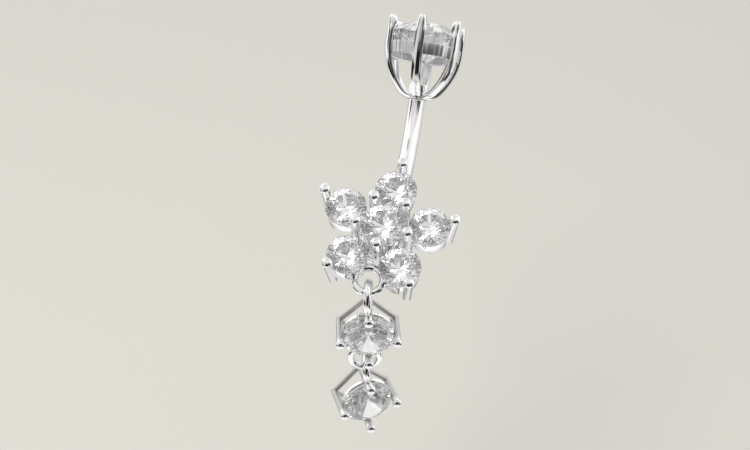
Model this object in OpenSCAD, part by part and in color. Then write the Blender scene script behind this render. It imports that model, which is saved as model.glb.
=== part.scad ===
// Navel ring: a curved bar with a stone head on top and a flower of stones below, and two drops.
// Sizes are in millimetres. The part is drawn held up at the middle of its bar, drops hanging.

/* [Curved bar] */
// Thickness of the round bar that passes through the piercing
bar_diameter = 1.6; // [1.2:0.05:2.0]
// Radius of the bend along the middle of the bar
bar_bend_radius = 12; // [10:0.25:16]
// Angle of the bend between the flower and the top setting, in degrees
bar_sweep = 56.4; // [48:0.2:66]
// Angle that the top end leans in front of the flower's plane, in degrees
bar_top_lean = 25; // [15:0.5:35]
// Angle that the bar leans to the side of the top petal, in degrees
bar_side_lean = 6.4; // [0:0.2:10]
// How far the bar's lower end sits above the centre of the top petal
bar_foot_up = 0.9; // [0.5:0.05:1.3]
// How far the bar's lower end sits behind the back of the petal cups
bar_foot_back = 0.1; // [0:0.05:0.4]

/* [Screw end] */
// Thickness of the pin that stands for the thread on the bar's top end
pin_diameter = 1.1; // [0.8:0.05:1.2]
// Length of the pin
pin_length = 1.2; // [0.8:0.1:1.6]
// Free room above the pin in its hole
pin_end_room = 0.1; // [0.05:0.05:0.2]
// How deep wires that are soldered together are let into each other
solder_sink = 0.3; // [0.2:0.05:0.35]
// Free room round the pin in its hole, on each side
pin_room = 0.05; // [0.03:0.01:0.08]
// Gap between the top setting's foot and the bar's shoulder
shoulder_gap = 0.04; // [0.02:0.01:0.08]

/* [Stones] */
// Diameter of the large stone in the top setting
top_stone_diameter = 7; // [6:0.1:8]
// Diameter of the stone in the middle of the flower
centre_stone_diameter = 4.3; // [3.8:0.1:4.8]
// Diameter of each petal stone
petal_stone_diameter = 4; // [3.6:0.1:4.3]
// Diameter of the stone in each drop
drop_stone_diameter = 4.9; // [4.5:0.1:5.3]
// Width of a stone's flat table, as a part of its diameter
table_share = 0.56; // [0.5:0.01:0.62]
// Height of a stone's crown above the girdle, as a part of its diameter
crown_share = 0.15; // [0.12:0.01:0.18]
// Depth of a stone below the girdle, as a part of its diameter
pavilion_share = 0.41; // [0.38:0.01:0.45]
// Thickness of a stone's girdle, as a part of its diameter
girdle_share = 0.03; // [0.02:0.005:0.05]
// Gap between each stone and the metal round it
stone_gap = 0.05; // [0.03:0.01:0.08]

/* [Flower] */
// Free space between the centre stone and a petal stone, seen from the front
petal_spacing = 0.15; // [0.1:0.05:0.4]
// Height of the centre stone above the petal stones
centre_rise = 0.86; // [0.7:0.02:1.1]
// Thickness of the flower's prongs
flower_prong_diameter = 0.84; // [0.7:0.02:1.0]
// Thickness of the outer prongs at their back ends
flower_prong_tail = 0.78; // [0.66:0.02:0.84]
// How deep a petal stone is let into its outer prong
petal_notch = 0.05; // [0:0.01:0.1]
// Diameter of the round bead on each of the flower's prongs
flower_bead_diameter = 1.06; // [0.96:0.02:1.2]
// Height of a bead's middle above the girdle of the stone it holds
flower_bead_rise = 1.2; // [1.0:0.05:1.4]
// How far the outer prongs lean in towards the back, in degrees
petal_prong_lean = 7.5; // [7:0.5:10]
// How far the outer prongs reach behind the backs of the cups
petal_prong_tail = 0.7; // [0.3:0.05:0.9]
// Depth of the petal cups behind the girdle of their stones
petal_cup_depth = 2.4; // [2.2:0.05:2.8]
// Wall of the cups
cup_wall = 0.28; // [0.25:0.01:0.4]
// How much narrower a petal cup is at its back, on each side
cup_taper = 0.25; // [0.1:0.05:0.35]
// Distance from a stone's girdle down to the rim of its cup
cup_drop = 0.35; // [0.3:0.05:0.5]
// How far the rim of a cup stays inside the stone's edge
cup_inset = 0.1; // [0.05:0.05:0.15]
// Thickness of the ring that ties the cups at the back
back_ring_thickness = 0.5; // [0.4:0.05:0.7]
// How far that ring sits in front of the cups' backs
back_ring_lift = 0.15; // [0.1:0.05:0.3]

/* [Soldered ring under the flower] */
// Outside diameter of the ring
flower_ring_diameter = 3.4; // [3.2:0.05:3.7]
// Thickness of the ring's wire
flower_ring_wire = 0.75; // [0.6:0.05:0.85]
// Distance from the flower's middle to the ring's middle
flower_ring_reach = 4.9; // [4.8:0.05:5.1]
// Depth of the ring behind the girdle of the petal stones
flower_ring_depth = 1.4; // [1.1:0.05:1.7]
// How far the ring sits to the left of the flower's middle line
flower_ring_side = 0.1; // [0:0.05:0.2]

/* [Top setting] */
// Width of each strap prong
strap_width = 0.95; // [0.8:0.05:1.1]
// Thickness of each strap prong
strap_thickness = 0.55; // [0.45:0.05:0.7]
// Free gap between the upright part of a strap and the stone
strap_gap = 0.1; // [0.08:0.01:0.14]
// Radius of the long bend of a strap
strap_bend_radius = 6.3; // [5.5:0.1:7]
// Radius of the short bend at a strap's foot
strap_foot_radius = 1.5; // [1.2:0.05:1.8]
// Height of a strap's foot above the foot of the boss
strap_foot_lift = 0.02; // [0.02:0.01:0.08]
// Angle where the short bend goes over into the long one, in degrees
strap_turn = 46; // [42:1:50]
// Length of a strap's straight part below the girdle
strap_straight = 1.1; // [0.9:0.05:1.3]
// Height of the end of a strap above the girdle
strap_rise = 1.55; // [1.4:0.05:1.8]
// Width of a strap at its rounded end
strap_tip = 0.68; // [0.6:0.02:0.78]
// How far the end of a strap reaches in over the stone
strap_lip = 0.25; // [0.15:0.05:0.35]
// Height of the gallery band
band_height = 1.25; // [1.0:0.05:1.7]
// Distance from the girdle down to the top of the gallery band
band_drop = 1.05; // [0.9:0.05:1.3]
// Wall of the gallery band
band_wall = 0.35; // [0.3:0.05:0.5]
// How deep the gallery band is let into the straps
band_sink = 0.1; // [0.06:0.02:0.16]
// Diameter of the boss that takes the bar's pin
boss_diameter = 2.05; // [1.9:0.05:2.2]
// Metal above the pin's hole in the boss
boss_roof = 0.35; // [0.25:0.05:0.5]
// Turn of the six straps about the bar's end, in degrees
strap_phase = -4.3; // [-10:0.5:10]

/* [Drops] */
// Thickness of the drops' prongs
drop_prong_diameter = 0.74; // [0.65:0.02:0.85]
// Thickness of the drops' prongs at their back ends
drop_prong_tail = 0.6; // [0.5:0.02:0.64]
// Diameter of the round bead on each prong of a drop
drop_bead_diameter = 0.95; // [0.85:0.05:1.05]
// Distance of a bead's middle in front of the girdle
drop_bead_rise = 1.07; // [0.95:0.02:1.2]
// Length of a drop's prongs behind the girdle
drop_prong_back = 2.7; // [2.5:0.1:3.0]
// How deep the stone is let into the prongs of a drop
drop_notch = 0.14; // [0.08:0.01:0.18]
// Thickness of the straight wires that join the prongs at the back
frame_wire = 0.5; // [0.4:0.02:0.6]
// Wall of the gallery ring behind the girdle
drop_gallery_wall = 0.32; // [0.25:0.01:0.4]
// Distance from the girdle back to the gallery ring
drop_gallery_drop = 0.35; // [0.3:0.05:0.45]
// Length of the gallery ring along the prongs
drop_gallery_length = 0.42; // [0.35:0.01:0.6]
// Turn of the upper drop about the vertical, in degrees
upper_drop_turn = 2.6; // [-5:0.2:5]
// Turn of the lower drop about the vertical, in degrees
lower_drop_turn = 18.3; // [10:0.2:20]

/* [Links and rings between the drops] */
// Outside diameter of the upper link
upper_link_diameter = 3.56; // [3.4:0.02:3.7]
// Thickness of the upper link's wire
upper_link_wire = 0.76; // [0.7:0.02:0.84]
// Outside diameter of the lower link
lower_link_diameter = 2.8; // [2.7:0.02:3.0]
// Thickness of the lower link's wire
lower_link_wire = 0.74; // [0.66:0.02:0.8]
// Outside diameter of the ring under the upper drop
drop_ring_diameter = 3.4; // [3.2:0.02:3.6]
// Thickness of that ring's wire
drop_ring_wire = 0.69; // [0.6:0.01:0.75]
// Depth of that ring behind the girdle
drop_ring_depth = 1.1; // [1.0:0.02:1.2]
// How far that ring sits to the left of the stone's middle
drop_ring_side = 0.3; // [0:0.05:0.35]
// How far the lower link hangs to the right of that ring's lowest point
lower_link_side = 0.1; // [0:0.05:0.15]
// Depth of the upper link behind the girdle
upper_link_depth = 0.8; // [0.74:0.02:0.9]
// Depth of the lower link behind the girdle
lower_link_depth = 0.52; // [0.48:0.02:0.64]
// Distance from the middle of the top prong up to the upper link's wire that is soldered to it
upper_link_lift = 0.12; // [0:0.02:0.3]
// Distance from the middle of the top prong up to the lower link's wire that is soldered to it
lower_link_lift = 0.42; // [0.3:0.02:0.5]
// Distance from the middle of the bottom prong up to the wire of the ring soldered to it
drop_ring_lift = 0.35; // [0.2:0.01:0.4]
// Gap between a hanging link and the wire it hangs on
link_gap = 0.05; // [0.03:0.01:0.08]

/* [How it hangs] */
// Tip of the flower's face backwards from the vertical drawing plane, in degrees
tip_back = 21.4; // [15:0.2:28]
// Roll of the flower to its side, in degrees
side_roll = 4.9; // [0:0.1:8]
// Turn of the flower about the vertical, in degrees
face_turn = -15.2; // [-20:0.2:-10]

/* [Hidden] */
$fn = 64;
petals = 5;
straps = 6;
petal_step = 360 / petals;
strap_step = 360 / straps;

// Flower: x to the right, y to the top petal, z out of the face, zero at the petal stones' girdles
petal_reach = (centre_stone_diameter + petal_stone_diameter) / 2 + petal_spacing;
outer_prong_reach = petal_reach + (petal_stone_diameter + flower_prong_diameter) / 2 - petal_notch;
inner_prong_reach = centre_stone_diameter / 2 + stone_gap + flower_prong_diameter / 2;
inner_bead_height = centre_rise + flower_bead_rise;
petal_cup_top = -cup_drop;
petal_cup_radius = petal_stone_diameter / 2 - cup_inset;
petal_cup_back_radius = petal_cup_radius - cup_taper;
centre_cup_top = centre_rise - cup_drop;
centre_cup_radius = centre_stone_diameter / 2 - cup_inset;
centre_cup_back_radius = centre_cup_radius - cup_taper;
prong_back = petal_cup_depth - back_ring_lift / 2;

// Bar in the flower's axes
bar_foot = [0, petal_reach + bar_foot_up, -petal_cup_depth - bar_foot_back];
bar_low_angle = bar_top_lean - bar_sweep;
bar_mid_angle = bar_top_lean - bar_sweep / 2;
bar_up = [-sin(bar_side_lean), cos(bar_side_lean), 0];
bar_front = [0, 0, 1];
bend_centre = bar_foot - bar_bend_radius * (sin(bar_low_angle) * bar_up - cos(bar_low_angle) * bar_front);
bar_middle = bend_centre
    + bar_bend_radius * (sin(bar_mid_angle) * bar_up - cos(bar_mid_angle) * bar_front);

// Turning the flower's axes into the upright axes of the hanging part
function about_x(v, a) = [v.x, v.y * cos(a) - v.z * sin(a), v.y * sin(a) + v.z * cos(a)];
function about_y(v, a) = [v.x * cos(a) + v.z * sin(a), v.y, -v.x * sin(a) + v.z * cos(a)];
function about_z(v, a) = [v.x * cos(a) - v.y * sin(a), v.x * sin(a) + v.y * cos(a), v.z];
function hung_way(v) = about_z(about_y(about_x(v, tip_back), side_roll), face_turn);
function hung_place(p) = hung_way(p - bar_middle);

// Lowest point of the soldered ring's wire, where the upper link hangs
flower_ring_radius = (flower_ring_diameter - flower_ring_wire) / 2;
flower_ring_middle = [-flower_ring_side, -flower_ring_reach, -flower_ring_depth];
face_way = hung_way([0, 0, 1]);
steepest_down = face_way * face_way.z - [0, 0, 1];
upper_pivot = hung_place(flower_ring_middle)
    + flower_ring_radius * steepest_down / norm(steepest_down);
// The level line across the ring's wire there, which the upper drop swings about
upper_axis_turn = atan2(-face_way.x, face_way.y) + (face_way.y < 0 ? 180 : 0);

// Drops: x to the right, y away from the stone's face, z up, zero at the stone's middle
drop_prong_reach = drop_stone_diameter / 2 + drop_prong_diameter / 2 - drop_notch;
upper_link_radius = (upper_link_diameter - upper_link_wire) / 2;
lower_link_radius = (lower_link_diameter - lower_link_wire) / 2;
drop_ring_radius = (drop_ring_diameter - drop_ring_wire) / 2;
upper_link_height = drop_prong_reach + upper_link_lift + upper_link_radius;
lower_link_height = drop_prong_reach + lower_link_lift + lower_link_radius;
upper_hang = upper_link_radius - (upper_link_wire + flower_ring_wire) / 2 - link_gap;
lower_hang = lower_link_radius - (lower_link_wire + drop_ring_wire) / 2 - link_gap;
drop_ring_height = drop_prong_reach - drop_ring_lift + drop_ring_radius;
upper_drop_middle = upper_pivot - [0, 0, upper_hang + upper_link_height]
    - about_z([0, upper_link_depth, 0], upper_drop_turn);
lower_pivot = upper_drop_middle
    + about_z([lower_link_side - drop_ring_side, drop_ring_depth,
        -drop_ring_height - drop_ring_radius], upper_drop_turn);
lower_drop_middle = lower_pivot - [0, 0, lower_hang + lower_link_height]
    - about_z([0, lower_link_depth, 0], lower_drop_turn);

// Top setting: z along the bar's end, zero at the foot of the boss
strap_reach = top_stone_diameter / 2 + strap_gap + strap_thickness / 2;
long_bend_middle_x = strap_reach - strap_bend_radius;
short_bend_middle_x = long_bend_middle_x + (strap_bend_radius - strap_foot_radius) * cos(strap_turn);
short_bend_middle_z = strap_foot_lift + strap_foot_radius + strap_thickness / 2;
strap_foot_start = boss_diameter / 2 - solder_sink;
long_bend_middle_z = short_bend_middle_z + (strap_bend_radius - strap_foot_radius) * sin(strap_turn);
girdle_height = long_bend_middle_z + strap_straight;
strap_top = girdle_height + strap_rise;
band_top = girdle_height - band_drop;
band_foot = band_top - band_height;
strap_inside = strap_reach - strap_thickness / 2;
band_top_radius = strap_inside + band_sink;
band_foot_radius = band_top_radius - strap_bend_radius
    + sqrt(pow(strap_bend_radius, 2) - pow(max(0, long_bend_middle_z - band_foot), 2));
boss_height = pin_length + boss_roof;

// A round brilliant: eight-sided table, star and kite facets, sixteen-sided girdle, pavilion.
// The table faces up along z, and zero is the middle of the girdle.
module brilliant(diameter) {
    r = diameter / 2;
    table_r = r * table_share;
    half_girdle = diameter * girdle_share / 2;
    table_z = half_girdle + diameter * crown_share;
    culet_z = -half_girdle - diameter * pavilion_share;
    star_r = r * 0.76;
    star_z = table_z - (star_r * cos(22.5) - table_r) * (table_z - half_girdle) / (r - table_r);
    low_r = r * 0.26;
    low_z = culet_z + low_r * cos(22.5) * (-half_girdle - culet_z) / r;
    points = concat(
        [for (k = [0 : 7]) [table_r * cos(45 * k), table_r * sin(45 * k), table_z]],
        [for (k = [0 : 7]) [star_r * cos(45 * k + 22.5), star_r * sin(45 * k + 22.5), star_z]],
        [for (j = [0 : 15]) [r * cos(22.5 * j), r * sin(22.5 * j), half_girdle]],
        [for (j = [0 : 15]) [r * cos(22.5 * j), r * sin(22.5 * j), -half_girdle]],
        [for (k = [0 : 7]) [low_r * cos(45 * k + 22.5), low_r * sin(45 * k + 22.5), low_z]],
        [[0, 0, culet_z]]);
    star = 8;
    top = 16;
    under = 32;
    low = 48;
    culet = 56;
    faces = concat(
        [[for (k = [7 : -1 : 0]) k]],
        [for (k = [0 : 7]) [k, (k + 1) % 8, star + k]],
        [for (k = [0 : 7]) [k, star + k, top + 2 * k, star + (k + 7) % 8]],
        [for (k = [0 : 7]) [star + k, top + 2 * k + 1, top + 2 * k]],
        [for (k = [0 : 7]) [star + k, top + (2 * k + 2) % 16, top + 2 * k + 1]],
        [for (j = [0 : 15]) [top + j, top + (j + 1) % 16, under + (j + 1) % 16, under + j]],
        [for (k = [0 : 7]) [low + k, under + 2 * k, under + 2 * k + 1]],
        [for (k = [0 : 7]) [low + k, under + 2 * k + 1, under + (2 * k + 2) % 16]],
        [for (k = [0 : 7]) [culet, low + (k + 7) % 8, under + 2 * k, low + k]]);
    polyhedron(points, faces, convexity = 2);
}

// The room that a stone takes out of the metal round it
module stone_room(diameter) {
    r = diameter / 2 + stone_gap;
    half_girdle = diameter * girdle_share / 2 + stone_gap;
    table_z = half_girdle + diameter * crown_share;
    culet_z = -half_girdle - diameter * pavilion_share;
    rotate_extrude()
        polygon([[0, culet_z], [r, -half_girdle], [r, half_girdle],
            [r * (table_share + 0.1), table_z], [0, table_z]]);
}

// A ring of round wire lying flat
module wire_ring(diameter, wire) {
    rotate_extrude() translate([(diameter - wire) / 2, 0]) circle(d = wire);
}

// A tapered cup with a wall of its own thickness, open at both ends
module cup(top_radius, top_z, back_radius, back_z) {
    rotate_extrude()
        polygon([[top_radius - cup_wall, top_z], [top_radius, top_z],
            [back_radius, back_z], [back_radius - cup_wall, back_z]]);
}

// A straight wire between two points, which may taper
module rod(from, to, diameter, end_diameter = 0) {
    way = to - from;
    translate(from)
        rotate([0, acos(way.z / norm(way)), atan2(way.y, way.x)])
            cylinder(d1 = diameter, d2 = end_diameter > 0 ? end_diameter : diameter, h = norm(way));
}

module petal_places() {
    for (i = [0 : petals - 1]) rotate([0, 0, -i * petal_step]) children();
}

// Puts what is drawn in the flower's axes where it hangs
module hung() {
    rotate([tip_back, side_roll, face_turn]) translate(-bar_middle) children();
}

// Puts what is drawn on the bar's end, z along it, where it hangs
module on_bar_end(lift = 0) {
    hung() translate(bend_centre) rotate([0, 0, bar_side_lean]) rotate([0, 90, 0])
        rotate([0, 0, bar_top_lean]) translate([bar_bend_radius, 0, 0])
            rotate([-90, 0, 0]) translate([0, 0, lift]) children();
}

module petal_prong() {
    back = petal_cup_depth + petal_prong_tail;
    foot = outer_prong_reach - (flower_bead_rise + back) * tan(petal_prong_lean);
    rod([0, foot, -back], [0, outer_prong_reach, flower_bead_rise],
        flower_prong_tail, flower_prong_diameter);
    translate([0, outer_prong_reach, flower_bead_rise]) sphere(d = flower_bead_diameter);
}

module inner_prong() {
    translate([0, inner_prong_reach, -prong_back])
        cylinder(d = flower_prong_diameter, h = prong_back + inner_bead_height);
    translate([0, inner_prong_reach, inner_bead_height]) sphere(d = flower_bead_diameter);
}

module bar() {
    translate(bend_centre) rotate([0, 0, bar_side_lean]) rotate([0, 90, 0]) {
        rotate([0, 0, bar_low_angle]) rotate_extrude(angle = bar_sweep)
            translate([bar_bend_radius, 0]) circle(d = bar_diameter);
        rotate([0, 0, bar_top_lean]) translate([bar_bend_radius, -solder_sink, 0])
            rotate([-90, 0, 0]) cylinder(d = pin_diameter, h = pin_length + solder_sink);
    }
}

module flower_metal() {
    difference() {
        union() {
            petal_places() {
                translate([0, petal_reach, 0])
                    cup(petal_cup_radius, petal_cup_top, petal_cup_back_radius, -petal_cup_depth);
                petal_prong();
                rotate([0, 0, petal_step / 2]) inner_prong();
            }
            cup(centre_cup_radius, centre_cup_top, centre_cup_back_radius, -petal_cup_depth);
            // ring that ties all the cups at the back
            translate([0, 0, back_ring_lift - petal_cup_depth]) rotate_extrude()
                translate([centre_cup_back_radius - cup_wall, 0])
                    square([petal_reach - petal_cup_back_radius + 0.75 * cup_wall
                        - centre_cup_back_radius + cup_wall, back_ring_thickness]);
            // plate that closes the top petal's cup, for the bar to be soldered to
            translate([0, petal_reach, back_ring_lift - petal_cup_depth])
                cylinder(r = petal_cup_back_radius - cup_wall / 2, h = back_ring_thickness);
        }
        petal_places() translate([0, petal_reach, 0]) stone_room(petal_stone_diameter);
        translate([0, 0, centre_rise]) stone_room(centre_stone_diameter);
    }
    translate(flower_ring_middle) wire_ring(flower_ring_diameter, flower_ring_wire);
}

module bar_and_flower() {
    color([0.86, 0.87, 0.88]) hung() {
        flower_metal();
        bar();
    }
}

module petal_stone(i) {
    color([0.93, 0.95, 0.97, 0.5]) hung() rotate([0, 0, -i * petal_step])
        translate([0, petal_reach, 0]) brilliant(petal_stone_diameter);
}

module centre_stone() {
    color([0.93, 0.95, 0.97, 0.5]) hung() translate([0, 0, centre_rise])
        brilliant(centre_stone_diameter);
}

// Cross-section of a strap: flat inside, slightly domed outside
module strap_section(lip = 0) {
    intersection() {
        translate([-strap_thickness / 2 - lip, -strap_width / 2])
            square([strap_thickness + lip, strap_width]);
        translate([-strap_width * 0.75 + strap_thickness / 2, 0]) circle(r = strap_width * 0.75);
    }
}

// A strap's upright end seen from outside: it narrows above the girdle and ends round
module strap_outline() {
    translate([0, strap_top - strap_tip / 2]) circle(d = strap_tip);
    polygon([[-strap_width / 2, long_bend_middle_z], [strap_width / 2, long_bend_middle_z],
        [strap_width / 2, girdle_height], [strap_tip / 2, strap_top - strap_tip / 2],
        [-strap_tip / 2, strap_top - strap_tip / 2], [-strap_width / 2, girdle_height]]);
}

module strap() {
    // level foot, drawn where the short bend begins too far out to be held by the boss
    if (short_bend_middle_x > strap_foot_start + solder_sink * 0.65)
        translate([strap_foot_start, 0, short_bend_middle_z - strap_foot_radius]) rotate([0, 90, 0])
            linear_extrude(short_bend_middle_x - strap_foot_start) strap_section();
    translate([short_bend_middle_x, 0, short_bend_middle_z]) rotate([90, 0, 0])
        rotate([0, 0, -90]) rotate_extrude(angle = 90 - strap_turn)
            translate([strap_foot_radius, 0]) strap_section();
    translate([long_bend_middle_x, 0, long_bend_middle_z]) rotate([90, 0, 0])
        rotate([0, 0, -strap_turn]) rotate_extrude(angle = strap_turn)
            translate([strap_bend_radius, 0]) strap_section();
    intersection() {
        union() {
            translate([strap_reach, 0, long_bend_middle_z])
                linear_extrude(strap_top - long_bend_middle_z) strap_section();
            translate([strap_reach, 0, girdle_height])
                linear_extrude(strap_top - girdle_height) strap_section(strap_lip);
        }
        rotate([90, 0, 90]) linear_extrude(strap_reach + strap_width) strap_outline();
    }
}

module top_setting() {
    color([0.86, 0.87, 0.88]) on_bar_end(shoulder_gap) difference() {
        union() {
            for (i = [0 : straps - 1]) rotate([0, 0, strap_phase + i * strap_step]) strap();
            cylinder(d = boss_diameter, h = boss_height);
            rotate_extrude()
                polygon([[band_foot_radius - band_wall, band_foot], [band_foot_radius, band_foot],
                    [band_top_radius, band_top], [band_top_radius - band_wall, band_top]]);
        }
        translate([0, 0, -strap_foot_radius])
            cylinder(r = pin_diameter / 2 + pin_room, h = strap_foot_radius + pin_length + pin_end_room);
        translate([0, 0, girdle_height]) stone_room(top_stone_diameter);
    }
}

module top_stone() {
    color([0.93, 0.95, 0.97, 0.5]) on_bar_end(shoulder_gap + girdle_height)
        brilliant(top_stone_diameter);
}

// A drop's basket: four prongs, the gallery ring behind the girdle and the frame at the back
module drop_basket() {
    difference() {
        union() {
            for (a = [0 : 90 : 270]) rotate([0, a, 0]) {
                rod([drop_prong_reach, drop_prong_back, 0], [drop_prong_reach, -drop_bead_rise, 0],
                    drop_prong_tail, drop_prong_diameter);
                translate([drop_prong_reach, -drop_bead_rise, 0]) sphere(d = drop_bead_diameter);
                rod([drop_prong_reach, drop_prong_back - frame_wire / 2, 0],
                    [0, drop_prong_back - frame_wire / 2, drop_prong_reach], frame_wire);
            }
            rotate([-90, 0, 0]) translate([0, 0, drop_gallery_drop]) rotate_extrude()
                translate([drop_stone_diameter / 2 - drop_gallery_wall, 0])
                    square([drop_gallery_wall, drop_gallery_length]);
        }
        rotate([90, 0, 0]) stone_room(drop_stone_diameter);
    }
}

module upper_drop_setting() {
    color([0.86, 0.87, 0.88]) translate(upper_drop_middle) {
        rotate([0, 0, upper_drop_turn]) {
            drop_basket();
            translate([-drop_ring_side, drop_ring_depth, -drop_ring_height])
                rotate([90, 0, 0]) wire_ring(drop_ring_diameter, drop_ring_wire);
        }
        translate(about_z([0, upper_link_depth, upper_link_height], upper_drop_turn))
            rotate([0, 0, upper_axis_turn]) rotate([0, 90, 0])
                wire_ring(upper_link_diameter, upper_link_wire);
    }
}

module lower_drop_setting() {
    color([0.86, 0.87, 0.88]) translate(lower_drop_middle) {
        rotate([0, 0, lower_drop_turn]) drop_basket();
        translate(about_z([0, lower_link_depth, lower_link_height], lower_drop_turn))
            rotate([0, 0, upper_drop_turn]) rotate([0, 90, 0])
                wire_ring(lower_link_diameter, lower_link_wire);
    }
}

module drop_stone(middle, turn) {
    color([0.93, 0.95, 0.97, 0.5]) translate(middle) rotate([90, 0, turn])
        brilliant(drop_stone_diameter);
}

bar_and_flower();
petal_stone(0);  // petal_stone_1
petal_stone(1);  // petal_stone_2
petal_stone(2);  // petal_stone_3
petal_stone(3);  // petal_stone_4
petal_stone(4);  // petal_stone_5
centre_stone();
top_setting();
top_stone();
upper_drop_setting();
drop_stone(upper_drop_middle, upper_drop_turn);  // upper_drop_stone
lower_drop_setting();
drop_stone(lower_drop_middle, lower_drop_turn);  // lower_drop_stone
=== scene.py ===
# %% [markdown]
# # A navel ring with a flower and two drops
#
# This lesson dresses a small piece of body jewellery: a curved bar with a big stone screwed on its
# top end, a flower of five petal stones at its foot, and two stone drops that hang below. The
# measured solids come in as a fixed frame. Every new piece takes its place from the same numbers,
# so it covers its solid from all sides and moves with it.

# %% The fixed frame
import math

import bmesh
import bpy
from mathutils import Matrix, Vector


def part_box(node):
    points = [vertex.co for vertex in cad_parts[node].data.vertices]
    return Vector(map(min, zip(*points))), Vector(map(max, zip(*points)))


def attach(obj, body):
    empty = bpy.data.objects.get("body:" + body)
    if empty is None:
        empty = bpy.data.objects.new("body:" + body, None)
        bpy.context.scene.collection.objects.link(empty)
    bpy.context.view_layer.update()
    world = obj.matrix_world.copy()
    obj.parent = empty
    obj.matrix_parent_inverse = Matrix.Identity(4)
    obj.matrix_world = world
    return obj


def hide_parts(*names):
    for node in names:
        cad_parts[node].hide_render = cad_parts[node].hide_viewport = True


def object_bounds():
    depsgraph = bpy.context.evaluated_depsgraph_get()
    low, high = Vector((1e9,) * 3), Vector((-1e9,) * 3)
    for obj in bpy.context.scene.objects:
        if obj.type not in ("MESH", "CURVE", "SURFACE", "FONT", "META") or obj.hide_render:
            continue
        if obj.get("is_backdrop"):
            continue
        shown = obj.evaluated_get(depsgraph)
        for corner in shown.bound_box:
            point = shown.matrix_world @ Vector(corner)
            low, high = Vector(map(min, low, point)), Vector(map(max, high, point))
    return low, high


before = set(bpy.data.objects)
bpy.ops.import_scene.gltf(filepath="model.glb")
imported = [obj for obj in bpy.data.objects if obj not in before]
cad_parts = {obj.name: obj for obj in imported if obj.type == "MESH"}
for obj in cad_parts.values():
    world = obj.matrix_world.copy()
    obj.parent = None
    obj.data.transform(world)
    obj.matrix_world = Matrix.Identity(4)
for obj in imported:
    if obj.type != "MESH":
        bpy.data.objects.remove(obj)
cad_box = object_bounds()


def box_in_mm(box):
    return [[round(x * 1000, 2) for x in corner] for corner in box]


print("nodes in the frame:", ", ".join(sorted(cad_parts)))
print("box of the solids in mm:", box_in_mm(cad_box))

# %% [markdown]
# ## Working in millimetres
#
# Blender counts in metres, but a jeweller thinks in millimetres and in the axes of each small part.
# A form could be made at the origin and its object moved, but then a pattern on Object coordinates
# would move with it. So a form is made in millimetres, and one matrix carries its mesh to its place
# while its object stays at the origin. Two short helpers write such matrices.

# %% Moves and turns
MM = 0.001


def move(x=0.0, y=0.0, z=0.0):
    return Matrix.Translation((x, y, z))


def turn(degrees, axis):
    return Matrix.Rotation(math.radians(degrees), 4, axis)


print("a quarter turn about z brings x to", (turn(90, "Z") @ Vector((1, 0, 0))).to_tuple(3))

# %% [markdown]
# ## Where the flower, the bar and the top setting are
#
# The flower's own axes have x to the right, y to the top petal and z out of its face. The bar is a
# round arc in a plane that leans a little to the side, and the whole jewel is tipped the way it
# hangs. Each place could be typed as a measured point, but then nothing would follow when one size
# changes. Here each place is one matrix, written from the stones' diameters and the arc's angles.

# %% Places of the flower, the bar and its end
TOP_STONE, CENTRE_STONE, PETAL_STONE, DROP_STONE = 7.0, 4.3, 4.0, 4.9
BEND_RADIUS, BAR_SWEEP, TOP_LEAN, SIDE_LEAN = 12.0, 56.4, 25.0, 6.4
BETWEEN_STONES, CENTRE_RISE, TOP_SEAM = 0.15, 0.86, 0.04
BAR_PAST_PETAL, BAR_FOOT_HEIGHT = 0.9, -2.5
HANG_TURN, HANG_ROLL, HANG_TIP = -15.2, 4.9, 21.4
PETAL_REACH = (CENTRE_STONE + PETAL_STONE) / 2 + BETWEEN_STONES

bar_foot = Vector((0, PETAL_REACH + BAR_PAST_PETAL, BAR_FOOT_HEIGHT))
bar_plane = turn(SIDE_LEAN, "Z") @ turn(90, "Y")
out_to_bar = Vector((BEND_RADIUS, 0, 0))
bend_middle = bar_foot - bar_plane @ turn(TOP_LEAN - BAR_SWEEP, "Z") @ out_to_bar
bar_middle = bend_middle + bar_plane @ turn(TOP_LEAN - BAR_SWEEP / 2, "Z") @ out_to_bar

hang = turn(HANG_TURN, "Z") @ turn(HANG_ROLL, "Y") @ turn(HANG_TIP, "X")
flower = hang @ Matrix.Translation(-bar_middle)
bar = flower @ Matrix.Translation(bend_middle) @ bar_plane
bar_end = bar @ turn(TOP_LEAN, "Z") @ move(BEND_RADIUS) @ turn(-90, "X")
head = bar_end @ move(z=TOP_SEAM)
petals = [turn(-72 * i, "Z") @ move(y=PETAL_REACH) for i in range(5)]
print("flower's middle:", flower.translation.to_tuple(3))
print("bar's end:", bar_end.translation.to_tuple(3))

# %% [markdown]
# ## How a ring hangs in a ring
#
# The jump rings and links are round wire, each given here as its outer diameter and the wire's. Two
# of them hang in each other with their wires crossed, so the distance between their middles follows
# from the two sizes and a little play. A link's own height over its drop follows from the prong
# that it is soldered to.

# %% Sizes of the rings and links
FLOWER_RING, UPPER_LINK, LOWER_LINK, DROP_RING = (3.4, 0.75), (3.56, 0.76), (2.8, 0.74), (3.4, 0.69)
LINK_PLAY, UPPER_LINK_RISE, LOWER_LINK_RISE, DROP_RING_SINK = 0.05, 0.12, 0.42, 0.35
DROP_SHAFT, DROP_BITE = 0.74, 0.14
PRONG_REACH = DROP_STONE / 2 + DROP_SHAFT / 2 - DROP_BITE


def middle_line(ring):
    """The radius of the circle along the middle of the ring's wire."""
    return (ring[0] - ring[1]) / 2


def hanging_depth(link, ring):
    """How far the link's middle hangs under the lowest point of the ring's middle line."""
    return middle_line(link) - (link[1] + ring[1]) / 2 - LINK_PLAY


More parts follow.
